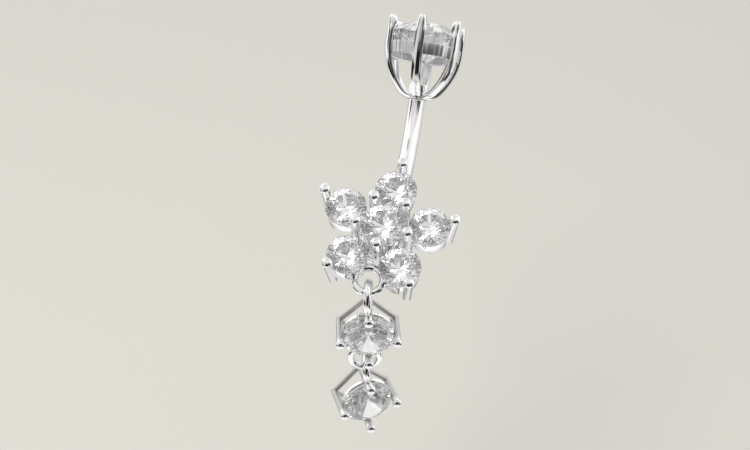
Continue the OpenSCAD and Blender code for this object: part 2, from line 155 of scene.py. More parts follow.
upper_link_height = PRONG_REACH + UPPER_LINK_RISE + middle_line(UPPER_LINK)
lower_link_height = PRONG_REACH + LOWER_LINK_RISE + middle_line(LOWER_LINK)
drop_ring_height = PRONG_REACH - DROP_RING_SINK + middle_line(DROP_RING)
print("the links stand", round(upper_link_height, 2), "and", round(lower_link_height, 2),
      "mm over their stones' middles")

# %% [markdown]
# ## Where the two drops hang
#
# The ring soldered under the flower carries the upper drop's link at its lowest point, and the
# lower drop hangs the same way from the ring under the upper one. A simulation could find how they
# come to rest, but links on rings simply hang straight down, so each place is a point under its
# ring and a turn about the upright.

# %% Places of the drops
UPPER_TURN, LOWER_TURN = turn(2.6, "Z"), turn(18.3, "Z")
FLOWER_RING_MIDDLE = Vector((-0.1, -4.9, -1.4))
UPPER_LINK_BACK, LOWER_LINK_BACK, DROP_RING_BACK = 0.8, 0.52, 1.1
DROP_RING_SIDE, LOWER_LINK_SIDE = -0.3, -0.2

face_way = hang.to_3x3() @ Vector((0, 0, 1))
steepest_down = (face_way * face_way.z - Vector((0, 0, 1))).normalized()
upper_axis_turn = math.degrees(math.atan2(-face_way.x, face_way.y)) + (180 if face_way.y < 0 else 0)

upper_pivot = flower @ FLOWER_RING_MIDDLE + middle_line(FLOWER_RING) * steepest_down
upper_fall = Vector((0, 0, hanging_depth(UPPER_LINK, FLOWER_RING) + upper_link_height))
upper_middle = upper_pivot - upper_fall - UPPER_TURN @ Vector((0, UPPER_LINK_BACK, 0))
ring_bottom = -drop_ring_height - middle_line(DROP_RING)
lower_pivot = upper_middle + UPPER_TURN @ Vector((LOWER_LINK_SIDE, DROP_RING_BACK, ring_bottom))
lower_fall = Vector((0, 0, hanging_depth(LOWER_LINK, DROP_RING) + lower_link_height))
lower_middle = lower_pivot - lower_fall - LOWER_TURN @ Vector((0, LOWER_LINK_BACK, 0))
upper_drop = Matrix.Translation(upper_middle) @ UPPER_TURN
lower_drop = Matrix.Translation(lower_middle) @ LOWER_TURN
print("upper drop:", upper_middle.to_tuple(3), " lower drop:", lower_middle.to_tuple(3))

# %% [markdown]
# ## Writing finishes as sums
#
# A finish is a small net of nodes. It could be wired in the node editor, or with a line of script
# for each node and link, but neither is easy to read back. Wrapping a socket in a class lets plain
# sums and products stand for the Math nodes, and one function adds every other kind of node, with
# its settings first and its inputs after them.

# %% A socket that can be reckoned with
class Value:
    def __init__(self, tree, socket):
        self.tree, self.socket = tree, socket

    def reckon(self, operation, first, second=0.0):
        return add_node(self.tree, "ShaderNodeMath", {"operation": operation},
                        {0: first, 1: second})

    def __add__(self, other):
        return self.reckon("ADD", self, other)

    def __radd__(self, other):
        return self.reckon("ADD", other, self)

    def __sub__(self, other):
        return self.reckon("SUBTRACT", self, other)

    def __rsub__(self, other):
        return self.reckon("SUBTRACT", other, self)

    def __mul__(self, other):
        return self.reckon("MULTIPLY", self, other)

    def __rmul__(self, other):
        return self.reckon("MULTIPLY", other, self)

    def size(self):
        return self.reckon("ABSOLUTE", self)

    def ease(self, low, high):
        """0 below low, 1 above high, smooth between; low may be the larger."""
        return add_node(self.tree, "ShaderNodeMapRange",
                        {"interpolation_type": "SMOOTHSTEP", "clamp": True},
                        {"Value": self, "From Min": low, "From Max": high})


def add_node(tree, kind, settings=None, inputs=None, output=0):
    node = tree.nodes.new(kind)
    for name, setting in (settings or {}).items():
        setattr(node, name, setting)
    for name, value in (inputs or {}).items():
        if isinstance(value, Value):
            tree.links.new(value.socket, node.inputs[name])
        else:
            node.inputs[name].default_value = value
    return Value(tree, node.outputs[output])


print("operators for sockets:", ", ".join(name for name in vars(Value) if name.startswith("__r")))

# %% [markdown]
# ## The nodes that both finishes need
#
# Colours and vectors don't go through Math nodes, which would turn a colour grey, but through Mix
# and Vector Math. Both finishes start from the same place: a Principled shader, and the point on
# the piece in millimetres, from Object coordinates, so that a pattern stays on its piece in every
# pose.

# %% Starting and feeding a finish
def vector_node(tree, operation, first, second, output=0):
    return add_node(tree, "ShaderNodeVectorMath", {"operation": operation},
                    {0: first, 1: second}, output)


def noise(tree, where, scale, detail):
    return add_node(tree, "ShaderNodeTexNoise", None,
                    {"Vector": where, "Scale": scale, "Detail": detail})


def mix_colours(tree, share, first, second):
    return add_node(tree, "ShaderNodeMix", {"data_type": "RGBA"},
                    {0: share, 6: first, 7: second}, output=2)


def height_over(tree, point, middle, way):
    """How far a point is from the plane through a middle that faces a way."""
    from_middle = vector_node(tree, "SUBTRACT", point, middle)
    return vector_node(tree, "DOT_PRODUCT", from_middle, way, output=1)


def start_finish(name):
    finish = bpy.data.materials.new(name)
    finish.use_nodes = True
    tree = finish.node_tree
    place = add_node(tree, "ShaderNodeTexCoord", output=3)
    point = add_node(tree, "ShaderNodeVectorMath", {"operation": "SCALE"},
                     {0: place, "Scale": 1 / MM})
    return finish, tree, tree.nodes["Principled BSDF"], point


def feed(shader, **sockets):
    """Links each value to the shader's socket of its name, written with _ for a space."""
    for name, value in sockets.items():
        value.tree.links.new(value.socket, shader.inputs[name.replace("_", " ")])


trial = start_finish("trial")[0]
print("a finish starts from", len(trial.node_tree.nodes), "nodes")
bpy.data.materials.remove(trial)

# %% [markdown]
# ## Polished silver
#
# The metal is white and bright like rhodium plate. What makes it look like metal and not like paint
# is what it mirrors, so its colour hardly changes: there is a faint drift of tone, a roughness that
# wanders where the polishing wheel went, and hair-fine wheel lines as a bump. Wire has coarser
# lines, and the band under the big stone is left satin. Behind the girdles of the drops the colour
# is painted greyer, as painted shade and a painted dark reflection, and the silver is rougher. One
# plain metal for all would be simpler, but the eye tells polished, satin and shaded silver apart at
# once.

# %% Silver finish
COOL_SILVER, WARM_SILVER = (0.90, 0.905, 0.92), (0.97, 0.97, 0.965)
# painted shade: the darker grey behind the drops' girdles stands in for shade and a dark reflection
PAINTED_SHADE_SILVER = (0.58, 0.575, 0.565)
FINE_LINES, COARSE_LINES = (0.25, 6.0, 6.0), (3.0, 3.0, 0.4)    # how close they lie along x, y, z
DRIFT, HANDLING, LINES = (0.45, 2.0), (1.7, 4.0), (2.2, 3.0)    # each noise's scale and detail
WORN_DULLNESS, LINE_DULLNESS, BEHIND_GIRDLE_DULLNESS = 0.05, 0.03, 0.3
LINE_STRENGTH, LINE_DEPTH, HANDLING_SHARE = 0.12, 0.01 * MM, 0.5    # of the bump
PAINTED_SHADE_ENDS = (0.85, 0.2)    # mm before the girdle where the painted shade and the roughness begin, and are full


def silver_finish(name, wheel=FINE_LINES, tone=1.0, dull=0.035, girdle=None, face=None):
    """Silver; behind the girdle, a point on a stone that faces a way, it gets painted shade and is
    rougher.
    """
    finish, tree, shader, point = start_finish(name)
    drift, handling = noise(tree, point, *DRIFT), noise(tree, point, *HANDLING)
    lines = noise(tree, vector_node(tree, "MULTIPLY", point, wheel), *LINES)
    cool, warm = ([part * tone for part in metal] + [1] for metal in (COOL_SILVER, WARM_SILVER))
    colour = mix_colours(tree, drift.ease(0.3, 0.7), cool, warm)
    worn, lined = handling.ease(0.35, 0.8), lines.ease(0.45, 0.8)
    roughness = dull + worn * WORN_DULLNESS + lined * LINE_DULLNESS
    if girdle is not None:
        # painted shade and painted dark reflection behind the girdle, with more roughness there
        painted_shade = height_over(tree, point, girdle, face).ease(*PAINTED_SHADE_ENDS)
        colour = mix_colours(tree, painted_shade, colour, PAINTED_SHADE_SILVER + (1,))
        roughness = roughness + painted_shade * BEHIND_GIRDLE_DULLNESS
    bump = add_node(tree, "ShaderNodeBump", None,
                    {"Strength": LINE_STRENGTH, "Distance": LINE_DEPTH,
                     "Height": lines + handling * HANDLING_SHARE})
    feed(shader, Base_Color=colour, Roughness=roughness, Normal=bump)
    shader.inputs["Metallic"].default_value = 1.0
    return finish


silver = silver_finish("polished_silver")
drawn_silver = silver_finish("drawn_wire_silver", wheel=COARSE_LINES)
band_silver = silver_finish("satin_band_silver", wheel=COARSE_LINES, tone=0.84, dull=0.3)
print("silver finishes:", silver.name, drawn_silver.name, band_silver.name)

# %% [markdown]
# ## Cut stones
#
# The stones are clear and cut as round brilliants. They could be cut again here, but the solids of
# the frame already have every facet, so they stay and get a glass finish with the high refraction
# of cubic zirconia. On a real stone the thin girdle is ground and not polished, so a frosted band
# goes round each one; its plane is found from the stone's middle and the way its table faces.

# %% Stone finish
HALF_GIRDLE, PAVILION, CROWN, TABLE = 0.015, 0.41, 0.15, 0.66    # shares of the stone's diameter
GIRDLE_BLUR, CUBIC_ZIRCONIA_IOR = 0.01, 2.16
GROUND_DULLNESS, CLOUD_DULLNESS, POLISHED_DULLNESS = 0.22, 0.05, 0.045
CLOUD = (0.9, 2.0)    # scale and detail of the faint cloud in the stone
FAINT_BLUE, CLEAR = (0.985, 0.99, 1.0, 1), (1.0, 1.0, 1.0, 1)


def stone_finish(name, middle, up, diameter):
    finish, tree, shader, point = start_finish(name)
    edge = diameter * HALF_GIRDLE
    off_girdle = height_over(tree, point, middle, up).size()
    girdle = off_girdle.ease(edge + GIRDLE_BLUR, edge - GIRDLE_BLUR)
    cloud = noise(tree, point, *CLOUD)
    colour = mix_colours(tree, cloud.ease(0.35, 0.7), FAINT_BLUE, CLEAR)
    roughness = girdle * GROUND_DULLNESS + cloud * CLOUD_DULLNESS + POLISHED_DULLNESS
    feed(shader, Base_Color=colour, Roughness=roughness)
    shader.inputs["IOR"].default_value = CUBIC_ZIRCONIA_IOR
    shader.inputs["Transmission Weight"].default_value = 1.0
    return finish


print("girdle of the big stone:", round(TOP_STONE * HALF_GIRDLE * 2, 2), "mm thick")

# %% [markdown]
# ## Setting the stones
#
# Each stone keeps its mesh from the frame and only gets its own finish, because the frosted band
# has to know where the stone is. Its facets are shaded flat: smooth shading would make a pebble of
# it. The drops' stones face forwards, so their axes take a quarter turn.

# %% Stones in their places
GIRDLE = 6.348    # height of the big stone's girdle over the bar's end


def set_stone(node, place, diameter):
    up = (place.to_3x3() @ Vector((0, 0, 1))).normalized()
    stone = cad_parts[node]
    stone.data.materials.clear()
    stone.data.materials.append(stone_finish("clear_" + node, place.translation, up, diameter))
    stone.data.shade_flat()
    low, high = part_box(node)
    print(node, "middle", place.translation.to_tuple(2), "inside its box:",
          all(low[i] / MM <= place.translation[i] <= high[i] / MM for i in range(3)))


set_stone("top_stone", head @ move(z=GIRDLE), TOP_STONE)
set_stone("centre_stone", flower @ move(z=CENTRE_RISE), CENTRE_STONE)
for i, petal in enumerate(petals):
    set_stone(f"petal_stone_{i + 1}", flower @ petal, PETAL_STONE)
set_stone("upper_drop_stone", upper_drop @ turn(90, "X"), DROP_STONE)
set_stone("lower_drop_stone", lower_drop @ turn(90, "X"), DROP_STONE)

# %% [markdown]
# ## Turning a profile
#
# Cups, bands, beads and bosses are all turned work, so they are made as on a lathe. Blender's Screw
# modifier could do it, but a bmesh keeps the form open to more tools. One small class draws half a
# section from point to point, or along an arc, and then spins it full circle about z. The arc is
# itself made by spinning the last point.

# %% A profile for turned parts
class Profile:
    def __init__(self, out, up):
        self.form = bmesh.new()
        self.first = self.tip = self.form.verts.new((out, 0, up))

    def to(self, out, up):
        before, self.tip = self.tip, self.form.verts.new((out, 0, up))
        self.form.edges.new((before, self.tip))
        return self

    def arc(self, out, up, degrees, steps):
        made = bmesh.ops.spin(self.form, geom=[self.tip], cent=(out, 0, up), axis=(0, -1, 0),
                              angle=math.radians(degrees), steps=steps)
        self.tip = [v for v in made["geom_last"] if isinstance(v, bmesh.types.BMVert)][0]
        return self

    def turned(self, steps, closed=False):
        if closed:
            self.form.edges.new((self.tip, self.first))
        bmesh.ops.spin(self.form, geom=self.form.verts[:] + self.form.edges[:], cent=(0, 0, 0),
                       axis=(0, 0, 1), angle=math.tau, steps=steps, use_merge=True)
        bmesh.ops.remove_doubles(self.form, verts=self.form.verts, dist=0.0005)
        bmesh.ops.recalc_face_normals(self.form, faces=self.form.faces)
        return self.form


trial = Profile(1, 0).to(1, 1).turned(12)
print("a line turned in 12 steps has", len(trial.faces), "faces")
trial.free()

# %% [markdown]
# ## Repeating and gathering
#
# A flower repeats its parts round its middle. Array modifiers or linked copies could do that, but a
# row of copies in one mesh is one piece, as soldered metal is. `placed` carries a form by a matrix,
# `repeat` copies it to several places, and `gather` puts forms together in one.

# %% Bench helpers
def only(kind, geom):
    return [g for g in geom if isinstance(g, kind)]


def placed(form, place):
    bmesh.ops.transform(form, matrix=place, verts=form.verts)
    return form


def repeat(form, places):
    first = form.verts[:] + form.edges[:] + form.faces[:]
    for place in places:
        made = bmesh.ops.duplicate(form, geom=first)["geom"]
        bmesh.ops.transform(form, matrix=place, verts=only(bmesh.types.BMVert, made))
    bmesh.ops.delete(form, geom=only(bmesh.types.BMVert, first), context="VERTS")
    return form


def gather(*forms):
    whole = bmesh.new()
    for form in forms:
        mesh = bpy.data.meshes.new("part")
        form.to_mesh(mesh)
        whole.from_mesh(mesh)
        bpy.data.meshes.remove(mesh)
        form.free()
    return whole


trial = repeat(Profile(1, 0).to(1, 1).turned(12), [turn(0, "Z"), move(x=3)])
print("two copies of that have", len(trial.faces), "faces")
trial.free()

# %% [markdown]
# ## Finishing a piece
#
# At the end every form takes the same steps. It is carried to its place in metres and becomes an
# object, it is smooth where it is round and crisp at edges sharper than the crease angle, and it
# gets its metal. Then it is tied to the body that it moves with, and the solid that it stands for
# is hidden.

# %% From form to piece
def finish_piece(name, form, place, finish, body, stands_for, crease=35):
    bmesh.ops.recalc_face_normals(form, faces=form.faces)
    placed(form, Matrix.Scale(MM, 4) @ place)
    mesh = bpy.data.meshes.new(name)
    form.to_mesh(mesh)
    form.free()
    mesh.shade_smooth()
    mesh.set_sharp_from_angle(angle=math.radians(crease))
    mesh.materials.append(finish)
    piece = bpy.data.objects.new(name, mesh)
    bpy.context.scene.collection.objects.link(piece)
    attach(piece, body)
    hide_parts(stands_for)
    corners = list(zip(*(v.co for v in mesh.vertices)))
    print(name, len(mesh.polygons), "faces, in mm from and to",
          box_in_mm([[min(c) for c in corners], [max(c) for c in corners]]))


print("a piece is made, placed, tied and measured by finish_piece")

# %% [markdown]
# ## The room for a stone
#
# A setter burrs a seat into every prong so that the stone's edge sinks into the metal. The seat
# could be modelled face by face, but a cut by the stone's own shape can't miss. The room is the
# stone's outline, a little wider, and a Boolean modifier takes it out of one prong before that
# prong is repeated.

# %% Burring a seat
ROOM = 0.05    # air between a stone and the metal


def stone_room(diameter):
    reach, half = diameter / 2 + ROOM, diameter * HALF_GIRDLE + ROOM
    top = half + diameter * CROWN
    return (Profile(0, -half - diameter * PAVILION).to(reach, -half).to(reach, half)
            .to(reach * TABLE, top).to(0, top).turned(96))


def burr(form, room):
    work = []
    for source in (form, room):
        mesh = bpy.data.meshes.new("work")
        source.to_mesh(mesh)
        source.free()
        work.append(bpy.data.objects.new("work", mesh))
        bpy.context.scene.collection.objects.link(work[-1])
    cut = work[0].modifiers.new("seat", "BOOLEAN")
    cut.operation, cut.solver, cut.object = "DIFFERENCE", "EXACT", work[1]
    bpy.context.view_layer.update()
    made = bmesh.new()
    made.from_mesh(work[0].evaluated_get(bpy.context.evaluated_depsgraph_get()).to_mesh())
    for one in work:
        mesh = one.data
        bpy.data.objects.remove(one)
        bpy.data.meshes.remove(mesh)
    return made


trial = stone_room(PETAL_STONE)
print("a petal stone's room is", round(trial.calc_volume(), 1), "cubic mm")
trial.free()

# %% [markdown]
# ## The curved bar
#
# The bar is a length of round wire bent to an arc. A curve object with a round bevel could make it,
# and would need its ends closed after that. Here a filled circle is spun about the arc's middle, so
# both ends are closed from the start, and the shoulder at the top gets the small chamfer that a
# turned end has.

# %% Curved bar
BAR_RADIUS, SHOULDER = 0.8, 0.07


def bar_form():
    form = bmesh.new()
    bmesh.ops.create_circle(form, segments=48, radius=BAR_RADIUS, cap_ends=True)
    placed(form, turn(TOP_LEAN - BAR_SWEEP, "Z") @ move(BEND_RADIUS) @ turn(90, "X"))
    made = bmesh.ops.spin(form, geom=form.faces[:] + form.edges[:] + form.verts[:], cent=(0, 0, 0),
                          axis=(0, 0, 1), angle=math.radians(BAR_SWEEP), steps=56)
    shoulder = only(bmesh.types.BMFace, made["geom_last"])
    bmesh.ops.bevel(form, geom=[e for f in shoulder for e in f.edges], offset=SHOULDER, segments=3,
                    affect="EDGES", profile=0.5, material=-1)
    return form


finish_piece("curved_bar", bar_form(), bar, drawn_silver, "ring_body", "bar_and_flower")

# %% [markdown]
# ## The threaded pin
#
# The top setting screws on a thin pin at the bar's end. A bump could draw the thread, but it would
# look flat where the pin shows against the light. The thread is a little ridge that is spun round
# the core while it climbs, as a lathe tool would cut it.

# %% Threaded pin
PIN_LENGTH, PIN_CORE, PIN_CREST, PITCH = 1.2, 0.44, 0.545, 0.25
RIDGE_ROOT, RIDGE_TOP, RIDGE_SINK = 0.09, 0.02, 0.03
THREAD_START, NO_THREAD, STEPS_A_TURN = 0.12, 0.36, 28


def pin_core(chamfer=0.12, sunk=0.2):
    return (Profile(0, -sunk).to(PIN_CORE, -sunk).to(PIN_CORE, PIN_LENGTH - chamfer)
            .to(PIN_CORE - chamfer, PIN_LENGTH).to(0, PIN_LENGTH).turned(32))


def thread_ridge():
    ridge, root = bmesh.new(), PIN_CORE - RIDGE_SINK
    ridge.faces.new([ridge.verts.new(corner) for corner in (
        (root, 0, -RIDGE_ROOT), (PIN_CREST, 0, -RIDGE_TOP), (PIN_CREST, 0, RIDGE_TOP),
        (root, 0, RIDGE_ROOT))])
    placed(ridge, move(z=THREAD_START))
    turns = (PIN_LENGTH - NO_THREAD) / PITCH
    bmesh.ops.spin(ridge, geom=ridge.faces[:] + ridge.edges[:] + ridge.verts[:], cent=(0, 0, 0),
                   axis=(0, 0, 1), dvec=(0, 0, PITCH / STEPS_A_TURN), angle=math.tau * turns,
                   steps=round(STEPS_A_TURN * turns))
    return ridge


finish_piece("threaded_pin", gather(pin_core(), thread_ridge()), bar_end, silver, "ring_body",
             "bar_and_flower")

# %% [markdown]
# ## The flower's cups
#
# Each petal stone stands in a tapered cup, turned from sheet, with a rim that is bevelled inwards
# so that the stone's lower cone rests on it. A bevel after the turning could soften the rims, but
# it is evener when the round is drawn into the section. The five petal cups are one form repeated
# round the flower, and the centre cup is taller because its stone stands above the petals.

# %% Petal cups and centre cup
CUP_DROP, CUP_BACK = 0.35, -2.4    # rim under the girdle, and the cups' back plane
CUP_INSET, CUP_TAPER, CUP_WALL = 0.1, 0.25, 0.28


def cup_form(stone, top, soft=0.05):
    radius = stone / 2 - CUP_INSET
    back_radius, room = radius - CUP_TAPER, stone / 2 + ROOM
    depth, half = stone * PAVILION, stone * HALF_GIRDLE + ROOM
    seat = room * (1 - (CUP_DROP - half) / depth)
    inner_drop = half + depth * (1 - (radius - CUP_WALL) / room)
    profile = Profile(seat, top).to(radius - soft, top).arc(radius - soft, top - soft, -90, 3)
    profile.to(back_radius + soft * 0.3, CUP_BACK + soft).to(back_radius - soft, CUP_BACK)
    profile.to(back_radius - CUP_WALL + soft, CUP_BACK)
    profile.to(back_radius - CUP_WALL, CUP_BACK + soft)
    profile.to(radius - CUP_WALL, top + CUP_DROP - inner_drop)
    return profile.turned(72, closed=True)


finish_piece("petal_cups", repeat(cup_form(PETAL_STONE, -CUP_DROP), petals), flower, silver,
             "ring_body", "bar_and_flower")
finish_piece("centre_cup", cup_form(CENTRE_STONE, CENTRE_RISE - CUP_DROP), flower, silver,
             "ring_body", "bar_and_flower")

# %% [markdown]
# ## The ring and the plate behind the cups
#
# A flat ring is soldered across the backs of all the cups and holds the flower together, and a
# round plate closes the top petal's cup, where the bar is soldered on. Five short bridges between
# the cups would also hold, but one ring is what a jeweller saws out, and it is one turned section
# here.

# %% Back ring and plate
BACK_LOW, BACK_HIGH, BACK_INNER, BACK_OUTER, PLATE_RADIUS = -2.25, -1.75, 1.53, 2.84, 1.5


def flat_ring(inner, outer, low, high, soft=0.06):
    return (Profile(inner + soft, low).to(outer - soft, low).arc(outer - soft, low + soft, 90, 3)
            .to(outer, high - soft).arc(outer - soft, high - soft, 90, 3)
            .to(inner + soft, high).arc(inner + soft, high - soft, 90, 3)
            .to(inner, low + soft).arc(inner + soft, low + soft, 90, 3).turned(72))


plate = (Profile(0, BACK_LOW).to(PLATE_RADIUS, BACK_LOW).to(PLATE_RADIUS, BACK_HIGH)
         .to(0, BACK_HIGH).turned(48))
back_ring = flat_ring(BACK_INNER, BACK_OUTER, BACK_LOW, BACK_HIGH)
finish_piece("cup_backs", gather(back_ring, placed(plate, petals[0])), flower, silver,
             "ring_body", "bar_and_flower")

# %% [markdown]
# ## A prong with a bead
#
# Every prong ends in a round bead that is pressed over its stone. A cylinder with a sphere on it
# would show a hard line at the neck. One profile draws the rounded tail, the shaft, a small hollow
# at the neck and the bead, and spinning it gives the whole prong. Pressing then makes the bead
# flatter, as the setter's tool does.

# %% Beaded prong
def prong_form(length, tail, shaft, bead, pressed, neck=0.07, soft=0.12):
    """A prong along z, with its bead round zero; pressing makes the bead's cap flatter."""
    side, cap = shaft / 2, bead / 2
    drop = math.sqrt((cap + neck) ** 2 - (side + neck) ** 2)
    lean = math.degrees(math.atan2(drop, side + neck))
    profile = Profile(0, -length).to(tail / 2 - soft, -length)
    profile.arc(tail / 2 - soft, soft - length, 90, 4)
    profile.to(side, -drop).arc(side + neck, -drop, -lean, 4)
    form = profile.arc(0, 0, 90 + lean, 14).turned(36)
    for v in form.verts:
        if v.co.z > soft - length + 0.01:
            v.co.z = v.co.z * pressed if v.co.z > -drop else v.co.z + drop * (1 - pressed)
    return form


trial = prong_form(4.3, 0.8, 0.8, 1.0, 0.6)
print("one prong has", len(trial.faces), "faces")
trial.free()

# %% [markdown]
# ## The flower's prongs
#
# Each petal has one prong at its outer end, leaning out a little, and five upright prongs stand
# between the petals and hold the centre stone and two petals each. All could be placed one by one,
# but they repeat every 72 degrees. So the seat is burred into one outer prong, and the rest are its
# copies.

# %% Beaded prongs of the flower
SHAFT, BEAD, PRESSED, OUTER_TAIL, OUTER_LENGTH = 0.84, 1.06, 0.62, 0.78, 4.3
BEAD_HEIGHT, OUTER_BITE, OUTER_LEAN, INNER_FOOT = 1.2, 0.05, 7.5, 2.325

outer_reach = PETAL_REACH + (PETAL_STONE + SHAFT) / 2 - OUTER_BITE
outer_length = OUTER_LENGTH / math.cos(math.radians(OUTER_LEAN))
outer = placed(prong_form(outer_length, OUTER_TAIL, SHAFT, BEAD, PRESSED),
               move(y=outer_reach, z=BEAD_HEIGHT) @ turn(-OUTER_LEAN, "X"))
outer = burr(outer, placed(stone_room(PETAL_STONE), move(y=PETAL_REACH)))
finish_piece("petal_prongs", repeat(outer, [turn(-72 * i, "Z") for i in range(5)]), flower, silver,
             "ring_body", "bar_and_flower")

inner_reach, inner_height = CENTRE_STONE / 2 + ROOM + SHAFT / 2, CENTRE_RISE + BEAD_HEIGHT
inner = prong_form(inner_height + INNER_FOOT, SHAFT, SHAFT, BEAD, PRESSED)
inner_places = [turn(36 - 72 * i, "Z") @ move(y=inner_reach, z=inner_height) for i in range(5)]
finish_piece("inner_prongs", repeat(inner, inner_places), flower, silver, "ring_body",
             "bar_and_flower")

# %% [markdown]
# ## Rings and links
#
# The jump rings are round wire bent full circle. Blender has a torus ready made for the editor, but
# not for a bmesh, so a circle of the wire's section is set at the ring's radius and spun about the
# ring's axis. The first ring is soldered under the flower, between the two lower petals.

# %% Ring under the flower
def wire_ring(ring, steps=72, around=28):
    form = bmesh.new()
    bmesh.ops.create_circle(form, segments=around, radius=ring[1] / 2)
    placed(form, move(middle_line(ring)) @ turn(90, "X"))
    bmesh.ops.spin(form, geom=form.verts[:] + form.edges[:], cent=(0, 0, 0), axis=(0, 0, 1),
                   angle=math.tau, steps=steps, use_merge=True)
    return form


finish_piece("flower_ring", placed(wire_ring(FLOWER_RING), Matrix.Translation(FLOWER_RING_MIDDLE)),
             flower, drawn_silver, "ring_body", "bar_and_flower")

# %% [markdown]
# ## The straps' section
#
# Six flat straps hold the big stone. They are rolled from half-round wire, so a strap's section is
# a slice of a circle: flat inside and domed outside. A box with a bevel would have no dome, and it
# is the dome that gives each strap its long soft reflections. A filled circle is cut down to the
# slice by three planes, and its four corners are rounded.

# %% Strap section
STRAP_WIDTH, STRAP_THICK, STRAP_REACH, DOME = 0.95, 0.55, 3.875, 0.8
OUTER_SOFT, INNER_SOFT = 0.1, 0.08


def strap_section():
    form = bmesh.new()
    radius = STRAP_WIDTH * DOME
    bmesh.ops.create_circle(form, segments=120, radius=radius, cap_ends=True)
    placed(form, move(STRAP_THICK / 2 - radius))
    for point, way in (((-STRAP_THICK / 2, 0, 0), (-1, 0, 0)), ((0, STRAP_WIDTH / 2, 0), (0, 1, 0)),
                       ((0, -STRAP_WIDTH / 2, 0), (0, -1, 0))):
        bmesh.ops.bisect_plane(form, geom=form.verts[:] + form.edges[:] + form.faces[:],
                               plane_co=point, plane_no=way, clear_outer=True)
    for outside, soft in ((True, OUTER_SOFT), (False, INNER_SOFT)):
        corners = [v for v in form.verts
                   if abs(abs(v.co.y) - STRAP_WIDTH / 2) < 1e-4 and (v.co.x > 0) == outside]
        bmesh.ops.bevel(form, geom=corners, offset=soft, segments=4, affect="VERTICES", profile=0.5,
                        material=-1)
    return form


trial = strap_section()
print("strap section:", len(trial.verts), "corners")
trial.free()

# %% [markdown]
# ## The top setting's straps
#
# The straps rise from the boss, curve outwards and stand upright round the big stone, where their
# tips narrow and fold over its edge. A curve with a bevel object could follow the bend, but not the
# folded tip. So the section is grown from the girdle both ways: downwards by extruding and spinning
# along the two bends, and upwards step by step with less width and a deeper lip.

# %% Straps
BENDS = ((Vector((-2.425, 0, 5.248)), 46, 24),    # middle, degrees and steps of the long bend
         (Vector((0.909, 0, 1.795)), 44, 14))     # and of the short one above the foot
TIP = ((0.32, 0.985, 0.02, 0), (0.23, 0.97, 0.22, 0), (0.40, 0.95, 0.02, 0),    # rise, width, lip
       (0.43, 0.90, -0.02, -0.005), (0.13, 0.93, -0.03, -0.01),                 # and outer side
       (0.11, 0.88, -0.05, -0.03), (0.085, 0.80, -0.07, -0.06), (0.045, 0.66, -0.07, -0.07))
UNDER_GIRDLE, FOOT_LENGTH, STRAP_TURN = 0.2, 0.2, -4.3


def with_rim(faces):
    """The faces with their edges and corners, as extrude and spin want them."""
    edges = list({e for f in faces for e in f.edges})
    return faces + edges + list({v for f in faces for v in f.verts})


def grow(form, cap, up, width=1.0, lip=0.0, outer=0.0):
    """Extrudes the cap, lifts it, scales its width and moves its inner and outer sides."""
    made = bmesh.ops.extrude_face_region(form, geom=with_rim(cap))["geom"]
    for v in only(bmesh.types.BMVert, made):
        share = (v.co.x - STRAP_REACH + STRAP_THICK / 2) / STRAP_THICK
        v.co += Vector((outer * share - lip * (1 - share), v.co.y * (width - 1), up))
    return only(bmesh.types.BMFace, made)


def strap_form():
    form = placed(strap_section(), move(STRAP_REACH, 0, GIRDLE - UNDER_GIRDLE))
    crown, foot = form.faces[:], form.faces[:]
    foot = grow(form, foot, BENDS[0][0].z - GIRDLE + UNDER_GIRDLE)
    for middle, angle, steps in BENDS:
        made = bmesh.ops.spin(form, geom=with_rim(foot), cent=middle, axis=(0, 1, 0),
                              angle=math.radians(angle), steps=steps)["geom_last"]
        foot = only(bmesh.types.BMFace, made)
    made = bmesh.ops.extrude_face_region(form, geom=with_rim(foot))["geom"]
    bmesh.ops.translate(form, verts=only(bmesh.types.BMVert, made), vec=(-FOOT_LENGTH, 0, 0))
    for rise, width, lip, outer in TIP:
        crown = grow(form, crown, rise, width, lip, outer)
    open_edges = sum(not e.is_manifold for e in form.edges)
    print("one strap:", len(form.faces), "faces, open edges:", open_edges)
    return form


straps = [turn(STRAP_TURN + 60 * i, "Z") for i in range(6)]
finish_piece("head_straps", repeat(strap_form(), straps), head, silver, "top", "top_setting")

# %% [markdown]
# ## The gallery band
#
# A band inside the straps ties them together under the stone. It is turned with softened rims that
# catch the light, and then shallow upright flutes are pressed round it. A bump could draw the
# flutes, but real ones break up the reflections at the rims too.
# Two waves of different counts keep the flutes from looking machine-made.

# %% Gallery band
BAND_FOOT, BAND_TOP, FOOT_RADIUS, TOP_RADIUS, BAND_WALL = 4.048, 5.298, 3.585, 3.7, 0.35
FLUTES, STEPS_A_FLUTE, FLUTE_DEPTH = 44, 8, 0.014
SLOW_FLUTES, SLOW_SHARE, SLOW_START = 17, 0.7, 1.0


def band_form(soft=0.09):
    profile = Profile(FOOT_RADIUS - BAND_WALL + soft, BAND_FOOT).to(FOOT_RADIUS - soft, BAND_FOOT)
    profile.arc(FOOT_RADIUS - soft, BAND_FOOT + soft, 90, 4).to(TOP_RADIUS, BAND_TOP - soft)
    profile.arc(TOP_RADIUS - soft, BAND_TOP - soft, 90, 4)
    profile.to(TOP_RADIUS - BAND_WALL + soft, BAND_TOP)
    profile.arc(TOP_RADIUS - BAND_WALL + soft, BAND_TOP - soft, 90, 4)
    profile.to(FOOT_RADIUS - BAND_WALL, BAND_FOOT + soft)
    return profile.turned(STEPS_A_FLUTE * FLUTES, closed=True)


def fluted(form):
    """Presses shallow upright flutes round a turned form."""
    for v in form.verts:
        around = math.atan2(v.co.y, v.co.x)
        slow = SLOW_SHARE * math.sin(SLOW_FLUTES * around + SLOW_START)
        press = FLUTE_DEPTH * (math.sin(FLUTES * around) + slow)
        v.co += Vector((v.co.x, v.co.y, 0)).normalized() * press
    return form


finish_piece("head_band", fluted(band_form()), head, band_silver, "top", "top_setting")

